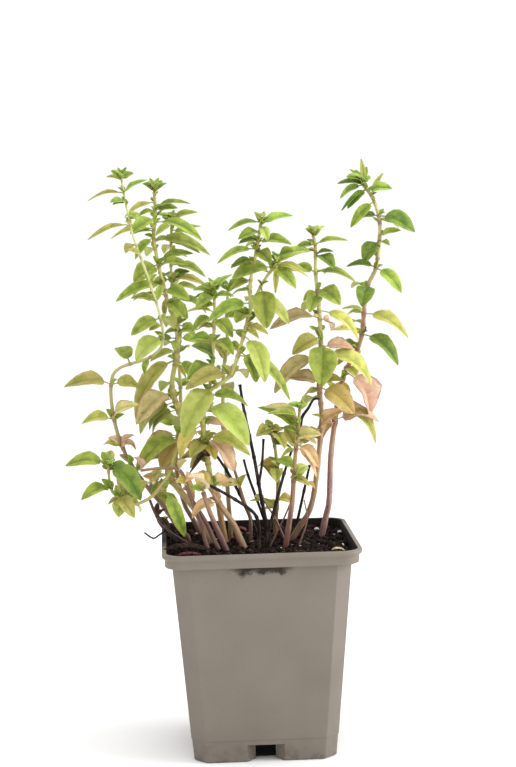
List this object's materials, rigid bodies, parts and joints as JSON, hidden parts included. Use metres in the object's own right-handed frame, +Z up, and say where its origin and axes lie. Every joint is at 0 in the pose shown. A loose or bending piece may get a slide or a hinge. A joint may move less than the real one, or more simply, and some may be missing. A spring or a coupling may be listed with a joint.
{
  "type": "potted oregano",
  "caption": "Square nursery pot filled with dark soil, holding an airy oregano plant of upright leafy stems with opposite ovate leaves and a few dead stems.",
  "frame": {"origin": "middle of the pot's underside, on the surface that the pot stands on", "axes": "+Z up, the side seen in the picture faces -Y, +X to the right seen from the front"},
  "size_m": [0.1699, 0.0998, 0.276],
  "materials": {
    "pot": "satin moulded polypropylene, taupe",
    "soil": "loose dark peat and bark",
    "foliage": "soft matte leaf",
    "young_stem": "fine-haired green to purple stem",
    "dead_stem": "dry blackened stem"
  },
  "bodies": {
    "root": {"pot": "pot", "soil": "soil", "far_left_stem": "foliage", "tall_left_stem": "foliage", "left_back_stem": "foliage", "forked_stem": "foliage", "mid_thin_stem": "foliage", "mid_right_stem": "foliage", "right_tall_stem": "foliage", "red_stem": "foliage", "small_centre_stem": "foliage", "outer_left_stem": "foliage", "beige_stem": "young_stem", "purple_stem": "young_stem", "dry_twig": "dead_stem", "dead_stem_tall": "dead_stem", "dead_stem_right": "dead_stem", "dead_stem_far_right": "dead_stem", "dead_stem_low": "dead_stem", "dead_stem_crossing": "dead_stem", "dead_stem_short": "dead_stem"}
  },
  "joints": []
}
